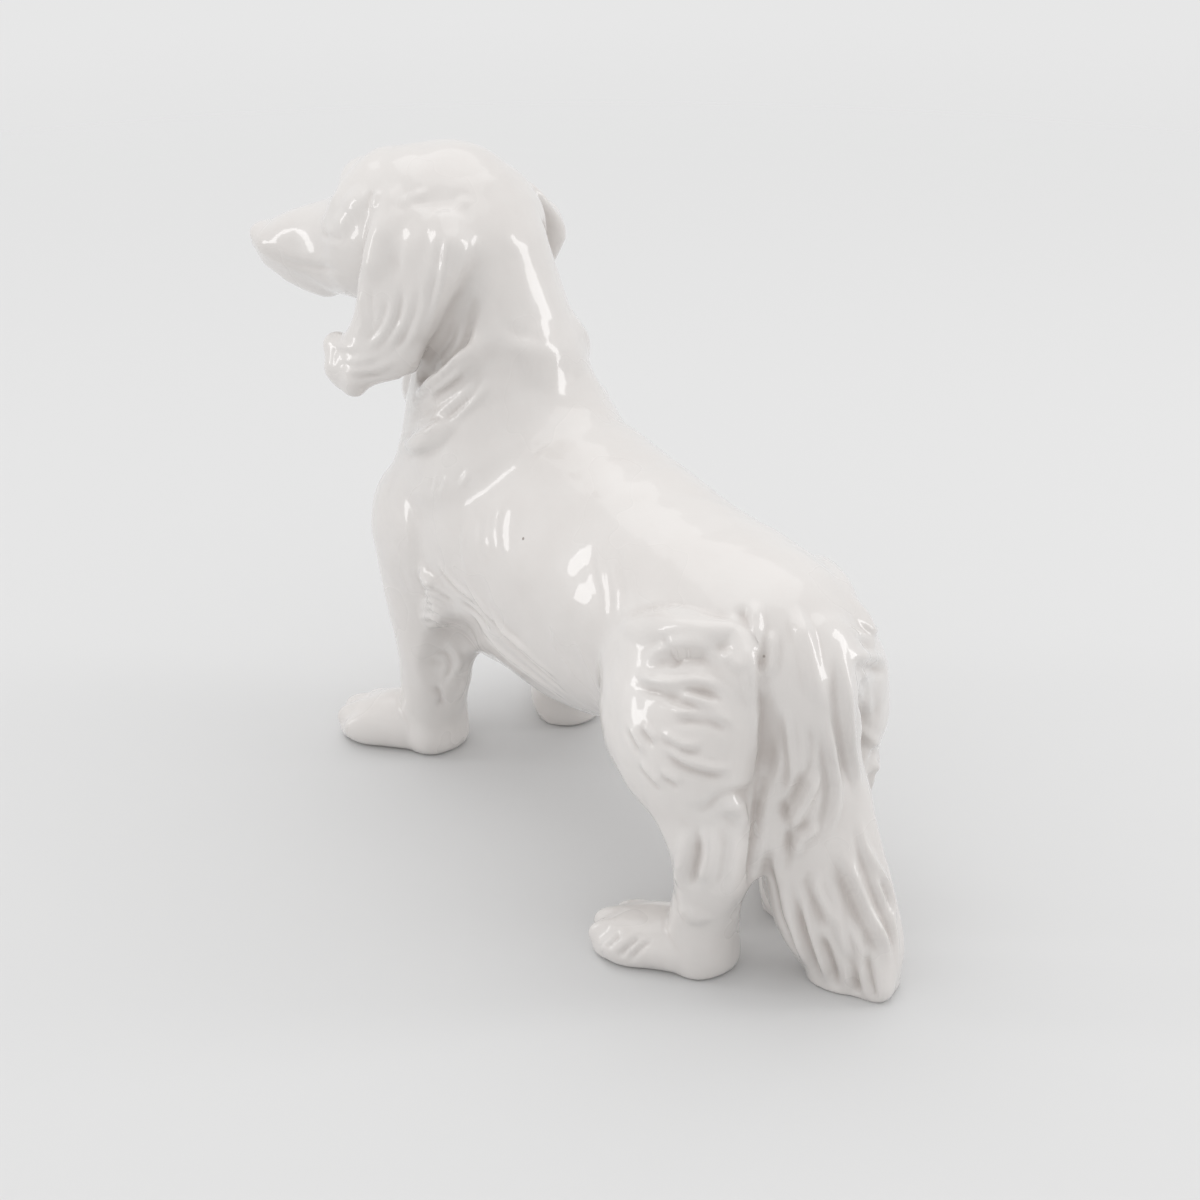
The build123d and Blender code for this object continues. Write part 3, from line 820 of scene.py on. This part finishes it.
# The chest.
lay_hair(torso_skin & (x > 84) & (z > 58) & (z < 128) & (normals[:, 0] > 0.3) & (np.abs(y) < 34) & hidden,
         flow=(-0.1, 0.0, -1.0), spacing=10.0, length=26.0, width=4.6, height=1.3, undercut=0.8)
# The throat.
lay_hair(head_skin & (x > 70) & (z > 116) & (z < 152) & (normals[:, 0] > 0.3) & hidden,
         flow=(0.1, 0.0, -1.0), spacing=9.0, length=22.0, width=3.8, height=1.1, undercut=0.7)
# The belly's edges.
lay_hair(torso_skin & (y < -14) & (z > 44) & (z < 66) & (x > -45) & (x < 56),
         flow=(-0.8, 0.1, -0.6), spacing=9.0, length=26.0, width=2.6, height=0.9, undercut=0.6)
lay_hair(torso_skin & (y > 14) & (z > 44) & (z < 60) & (x > -45) & (x < 56) & hidden,
         flow=(-0.8, -0.1, -0.6), spacing=9.0, length=26.0, width=2.6, height=0.9, undercut=0.6)
# The neck's right side.
lay_hair(head_skin & hidden & (x > 30) & (y < 2) & (z > 126) & (z < 174) & (normals[:, 0] < 0.45),
         flow=(0.45, -0.1, -0.9), spacing=9.0, length=24.0, width=3.4, height=1.2, undercut=0.8)
# The right hip and thigh.
lay_hair(torso_skin & (x < -52) & (y < -12) & (z > 92) & hidden,
         flow=(-0.95, 0.0, -0.3), spacing=10.0, length=24.0, width=3.6, height=1.2, undercut=1.0)
lay_hair((part_of == PIECES.index("hindleg_right")) & (z > 56) & hidden & (x < -40),
         flow=(-0.9, 0.0, -0.55), spacing=10.0, length=24.0, width=3.6, height=1.2, undercut=1.1)
# The tail.
lay_hair((part_of == PIECES.index("tail")) & (z > 16) & hidden,
         flow=(-0.25, 0.0, -1.0), spacing=9.0, length=38.0, width=3.4, height=1.5, undercut=1.2)
# The backs of the forelegs.
for name in ("foreleg_left", "foreleg_right"):
    lay_hair((part_of == PIECES.index(name)) & (z > 30) & (z < 78) & (normals[:, 0] < -0.3) & hidden,
             flow=(-0.2, 0.0, -1.0), spacing=8.0, length=20.0, width=2.8, height=1.1, undercut=0.7)

relief = traced_relief + (relief - traced_relief) * np.clip((away - HIDDEN_FROM) / HIDDEN_FADE, 0, 1)
relief = relief + 0.35 * (neighbour_mean(relief) - relief)

# A hand-modelled surface is never quite even.
UNEVEN = ((40.0, 0.26), (21.0, 0.12), (12.0, 0.05))
UNEVEN_WAVES = 16
for length, height in UNEVEN:
    for repeat in range(UNEVEN_WAVES):
        direction = unit(chance.normal(size=3)) * chance.uniform(0.8, 1.25)
        phase = chance.uniform(0, 2 * math.pi)
        relief += height / 4 * np.sin(points @ direction * 2 * math.pi / length + phase)

# Fingers leave shallow facets, most of all where there is hair.
FACET = 13.0
FACET_HEIGHT = 1.0
FACET_WAVES = 5
FACET_MEAN = 0.64
FACET_BLUR = 30
FACET_SHARES = {
    "torso": 0.3, "head_and_neck": 0.55, "foreleg_left": 0.6, "foreleg_right": 0.6, "hindleg_left": 0.9,
    "hindleg_right": 0.9, "tail": 0.6, "ear_left": 1.0, "ear_right": 1.0,
}
facet_share = np.array([FACET_SHARES[name] for name in PIECES])[part_of]
for repeat in range(FACET_BLUR):
    facet_share = neighbour_mean(facet_share)
for repeat in range(FACET_WAVES):
    direction = unit(chance.normal(size=3))
    wave = np.abs(np.sin(points @ direction * math.pi / FACET + chance.uniform(0, math.pi)))
    relief += FACET_HEIGHT / FACET_WAVES * facet_share * (wave - FACET_MEAN)

# The relief fades out towards the soles, which are flat.
SOLE_FADE = 3.0
sole = np.clip(points[:, 2] / SOLE_FADE, 0, 1)
base = points.copy()
points = points + normals * (relief * sole)[:, None]
points = points + 0.3 * (neighbour_mean(points) - points)
points[:, 2] = np.maximum(points[:, 2], 0.0)
normals = vertex_normals(points)

# How deep each place lies between its neighbours: the glaze pools there, and shade is painted into the colour
# there too.
HOLLOW_DEPTH = 1.2
HOLLOW_BLUR = 12
soft = points.copy()
for repeat in range(HOLLOW_BLUR):
    soft = neighbour_mean(soft)
pool_and_shade = np.clip(np.sum((soft - points) * normals, axis=1) / HOLLOW_DEPTH, -1, 1)


# The glaze: warm white, faintly mottled, with a few pinholes, and darker in the hollows, where its pooled
# tint and painted shade are laid into the colour.
WHITE = (0.745, 0.716, 0.694)
CLOUD = (0.715, 0.682, 0.658)
# The colour for the hollows: the glaze's pooled tint together with painted shade.
POOLED_AND_SHADE = (0.560, 0.508, 0.476)
PINHOLE = (0.16, 0.12, 0.09)


def make_glaze():
    material = bpy.data.materials.new("white_glaze")
    material.use_nodes = True
    tree = material.node_tree
    shader = tree.nodes["Principled BSDF"]

    def node(kind, **settings):
        made = tree.nodes.new(kind)
        for name, value in settings.items():
            setattr(made, name, value)
        return made

    def ranged(value, low, high, first, last):
        made = node("ShaderNodeMapRange")
        tree.links.new(value, made.inputs["Value"])
        made.inputs["From Min"].default_value = low
        made.inputs["From Max"].default_value = high
        made.inputs["To Min"].default_value = first
        made.inputs["To Max"].default_value = last
        return made.outputs["Result"]

    def noise(scale, detail):
        made = node("ShaderNodeTexNoise")
        made.inputs["Scale"].default_value = scale
        made.inputs["Detail"].default_value = detail
        tree.links.new(place, made.inputs["Vector"])
        return made.outputs["Fac"]

    def mixed(share, first, second):
        made = node("ShaderNodeMix", data_type="RGBA")
        tree.links.new(share, made.inputs["Factor"])
        for socket, colour in ((made.inputs[6], first), (made.inputs[7], second)):
            if isinstance(colour, tuple):
                socket.default_value = (*colour, 1.0)
            else:
                tree.links.new(colour, socket)
        return made.outputs[2]

    place = node("ShaderNodeTexCoord").outputs["Object"]
    depth = node("ShaderNodeAttribute", attribute_name="pool_and_shade").outputs["Fac"]
    cloudy = ranged(noise(42.0, 3.0), 0.35, 0.7, 0.0, 1.0)
    white = mixed(cloudy, WHITE, CLOUD)
    # Painted shade: the colour goes darker in the hollows, along with the glaze's pooled tint.
    pooled_and_shaded = mixed(ranged(depth, 0.05, 0.85, 0.0, 0.80), white, POOLED_AND_SHADE)
    cells = node("ShaderNodeTexVoronoi")
    cells.inputs["Scale"].default_value = 46.0
    tree.links.new(place, cells.inputs["Vector"])
    hole = ranged(cells.outputs["Distance"], 0.016, 0.030, 1.0, 0.0)
    rare = node("ShaderNodeMath", operation="MULTIPLY")
    tree.links.new(hole, rare.inputs[0])
    pick = node("ShaderNodeSeparateColor")
    tree.links.new(cells.outputs["Color"], pick.inputs["Color"])
    tree.links.new(ranged(pick.outputs["Red"], 0.60, 0.62, 0.0, 0.8), rare.inputs[1])
    tree.links.new(mixed(rare.outputs["Value"], pooled_and_shaded, PINHOLE), shader.inputs["Base Color"])
    tree.links.new(ranged(noise(30.0, 2.0), 0.3, 0.7, 0.24, 0.36), shader.inputs["Roughness"])
    grain = node("ShaderNodeBump")
    grain.inputs["Strength"].default_value = 0.12
    grain.inputs["Distance"].default_value = 0.0006
    tree.links.new(noise(150.0, 1.0), grain.inputs["Height"])
    tree.links.new(grain.outputs["Normal"], shader.inputs["Normal"])
    tree.links.new(grain.outputs["Normal"], shader.inputs["Coat Normal"])
    shader.inputs["Coat Weight"].default_value = 1.0
    shader.inputs["Coat Roughness"].default_value = 0.04
    return material


glaze = make_glaze()


def quad_labels():
    """The piece that each face belongs to, with each piece in one part."""
    label = piece_labels(base[quads].mean(axis=1)).astype(int)
    edges = np.stack([quads, np.roll(quads, -1, axis=1)], -1).reshape(-1, 2)
    edges.sort(axis=1)
    order = np.lexsort(edges.T)
    same = (edges[order[1:]] == edges[order[:-1]]).all(axis=1)
    first, second = order[1:][same] // 4, order[:-1][same] // 4
    joined = label[first] == label[second]
    group = components(len(quads), first[joined], second[joined])
    stray = np.ones(len(quads), bool)
    for index in range(len(PIECES)):
        stray[group == np.bincount(group[label == index]).argmax()] = False
    while stray.any():
        for here, there in ((first, second), (second, first)):
            near = stray[here] & ~stray[there]
            label[here[near]] = label[there[near]]
            stray[here[near]] = False
    return label


def open_rims(faces):
    """The loops of points round a piece's open edges, in the direction of its faces."""
    ends = np.stack([faces, np.roll(faces, -1, axis=1)], -1).reshape(-1, 2)
    size = faces.max() + 1
    single = ends[~np.isin(ends[:, 0] * size + ends[:, 1], ends[:, 1] * size + ends[:, 0])]
    onward = {}
    for start, end in single.tolist():
        onward.setdefault(start, []).append(end)
    rims = []
    while onward:
        rim = [next(iter(onward))]
        while rim[-1] in onward:
            ends_here = onward[rim[-1]]
            rim.append(ends_here.pop())
            if not ends_here:
                del onward[rim[-2]]
        rims.append(np.array(rim[:-1]))
    return rims


CAP_SHARES = (0.8, 0.6, 0.4, 0.2)
CAP_DEPTH = 1.0


def caps(spots, faces):
    """Faces that close a piece where it is luted to its neighbours, and their points."""
    extra, closing = [], []
    for rim in open_rims(faces):
        middle = spots[rim].mean(axis=0)
        ring = rim
        for share in CAP_SHARES:
            inner = len(spots) + len(extra) + np.arange(len(rim))
            extra.extend(middle + share * (spots[rim] - middle))
            closing.extend(np.stack([np.roll(ring, -1), ring, inner, np.roll(inner, -1)], 1).tolist())
            ring = inner
        tip = len(spots) + len(extra)
        extra.append(middle)
        closing.extend([ahead, here, tip] for ahead, here in zip(np.roll(ring, -1).tolist(), ring.tolist()))
    extra = np.array(extra)
    for repeat in range(4):
        extra = extra - outward(extra) * np.maximum(take(clay, extra) + CAP_DEPTH, 0)[:, None]
    return extra, closing


def cut_pieces():
    label = quad_labels()
    for index, name in enumerate(PIECES):
        faces = quads[label == index]
        used = np.unique(faces)
        number = np.full(len(points), -1)
        number[used] = np.arange(len(used))
        extra, closing = caps(points[used], number[faces])
        spots = np.concatenate([points[used], extra])
        flat = []
        for face in closing:
            corners = spots[face]
            flat.extend([unit(np.cross(corners[1] - corners[0], corners[2] - corners[1]))] * len(face))
        mesh = bpy.data.meshes.new(name + "_glazed")
        mesh.from_pydata(((spots + DATUM) * MM).tolist(), [], number[faces].tolist() + closing)
        mesh.shade_smooth()
        mesh.normals_split_custom_set(np.concatenate([normals[faces.ravel()], np.array(flat)]).tolist())
        # The hollows' depth, which paints shade and the pooled tint into the glaze's colour.
        depth = mesh.attributes.new("pool_and_shade", "FLOAT", "POINT")
        depth.data.foreach_set("value", np.concatenate([pool_and_shade[used], np.zeros(len(extra))]).astype(np.float32))
        mesh.materials.append(glaze)
        piece = bpy.data.objects.new(name + "_glazed", mesh)
        bpy.context.scene.collection.objects.link(piece)
        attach(piece, "root")
        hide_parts(name)


cut_pieces()


# The stage: a pale floor that runs into a pale background.
PALE = (0.80, 0.80, 0.80, 1.0)
FLOOR_GREY = (0.70, 0.70, 0.70, 1.0)
FLOOR_RADIUS = 3.0
FLOOR_FADE = (0.45, 1.5)


def make_stage():
    bpy.ops.mesh.primitive_circle_add(vertices=96, radius=FLOOR_RADIUS, fill_type="NGON", location=(0, 0, 0))
    floor = bpy.context.object
    floor.name = "floor"
    material = bpy.data.materials.new("floor")
    material.use_nodes = True
    tree = material.node_tree
    shader = tree.nodes["Principled BSDF"]
    shader.inputs["Base Color"].default_value = FLOOR_GREY
    shader.inputs["Roughness"].default_value = 0.8
    shader.inputs["Specular IOR Level"].default_value = 0.2
    place = tree.nodes.new("ShaderNodeTexCoord")
    far = tree.nodes.new("ShaderNodeVectorMath")
    far.operation = "LENGTH"
    tree.links.new(place.outputs["Object"], far.inputs[0])
    fade = tree.nodes.new("ShaderNodeMapRange")
    fade.interpolation_type = "SMOOTHSTEP"
    fade.inputs["From Min"].default_value = FLOOR_FADE[0]
    fade.inputs["From Max"].default_value = FLOOR_FADE[1]
    fade.inputs["To Min"].default_value = 1.0
    fade.inputs["To Max"].default_value = 0.0
    tree.links.new(far.outputs["Value"], fade.inputs["Value"])
    tree.links.new(fade.outputs["Result"], shader.inputs["Alpha"])
    floor.data.materials.append(material)


make_stage()


FIGURE_MIDDLE = np.array([0.0, 0.0, 0.11])


def softbox(name, azimuth, height, distance, size, power):
    """A soft lamp, seen from the middle of the figure at an azimuth and a height in degrees."""
    turn, rise = math.radians(azimuth), math.radians(height)
    aim = np.array([math.cos(turn) * math.cos(rise), math.sin(turn) * math.cos(rise), math.sin(rise)])
    data = bpy.data.lights.new(name, "AREA")
    data.shape = "RECTANGLE"
    data.size, data.size_y = size
    data.energy = power
    light = bpy.data.objects.new(name, data)
    light.location = Vector(FIGURE_MIDDLE + aim * distance)
    light.rotation_euler = Vector(-aim).to_track_quat("-Z", "Y").to_euler()
    bpy.context.scene.collection.objects.link(light)


softbox("overhead", azimuth=-34.0, height=70.0, distance=1.5, size=(1.9, 1.5), power=4.4)
softbox("left", azimuth=54.0, height=20.0, distance=1.3, size=(0.17, 0.90), power=1.5)
softbox("right", azimuth=-122.0, height=20.0, distance=1.3, size=(0.30, 0.90), power=2.6)


def make_world():
    world = bpy.data.worlds.new("studio")
    bpy.context.scene.world = world
    world.use_nodes = True
    tree = world.node_tree
    light = tree.nodes["Background"]
    light.inputs["Color"].default_value = (1.0, 1.0, 1.0, 1.0)
    place = tree.nodes.new("ShaderNodeTexCoord")
    rise = tree.nodes.new("ShaderNodeVectorMath")
    rise.operation = "DOT_PRODUCT"
    rise.inputs[1].default_value = (0.25, 0.30, 0.92)
    tree.links.new(place.outputs["Generated"], rise.inputs[0])
    strength = tree.nodes.new("ShaderNodeMapRange")
    strength.inputs["From Min"].default_value = -0.3
    strength.inputs["From Max"].default_value = 0.9
    strength.inputs["To Min"].default_value = 0.69
    strength.inputs["To Max"].default_value = 1.00
    tree.links.new(rise.outputs["Value"], strength.inputs["Value"])
    tree.links.new(strength.outputs["Result"], light.inputs["Strength"])
    seen = tree.nodes.new("ShaderNodeBackground")
    seen.inputs["Color"].default_value = PALE
    path = tree.nodes.new("ShaderNodeLightPath")
    mix = tree.nodes.new("ShaderNodeMixShader")
    share = path.outputs["Is Camera Ray"]
    for ray in ("Is Glossy Ray", "Is Transmission Ray"):
        added = tree.nodes.new("ShaderNodeMath")
        added.operation = "ADD"
        added.use_clamp = True
        tree.links.new(share, added.inputs[0])
        tree.links.new(path.outputs[ray], added.inputs[1])
        share = added.outputs["Value"]
    tree.links.new(share, mix.inputs["Fac"])
    tree.links.new(light.outputs["Background"], mix.inputs[1])
    tree.links.new(seen.outputs["Background"], mix.inputs[2])
    tree.links.new(mix.outputs["Shader"], tree.nodes["World Output"].inputs["Surface"])


make_world()


def add_camera():
    data = bpy.data.cameras.new("camera")
    data.sensor_width = SENSOR
    data.lens = LENS
    camera = bpy.data.objects.new("camera", data)
    camera.location = Vector((camera_place + DATUM) * MM)
    aim = Vector((CAMERA_TARGET + DATUM) * MM) - camera.location
    camera.rotation_euler = aim.to_track_quat("-Z", "Y").to_euler()
    data.clip_start = 0.01
    bpy.context.scene.collection.objects.link(camera)
    bpy.context.scene.camera = camera


add_camera()
bpy.context.scene.view_settings.view_transform = "Standard"
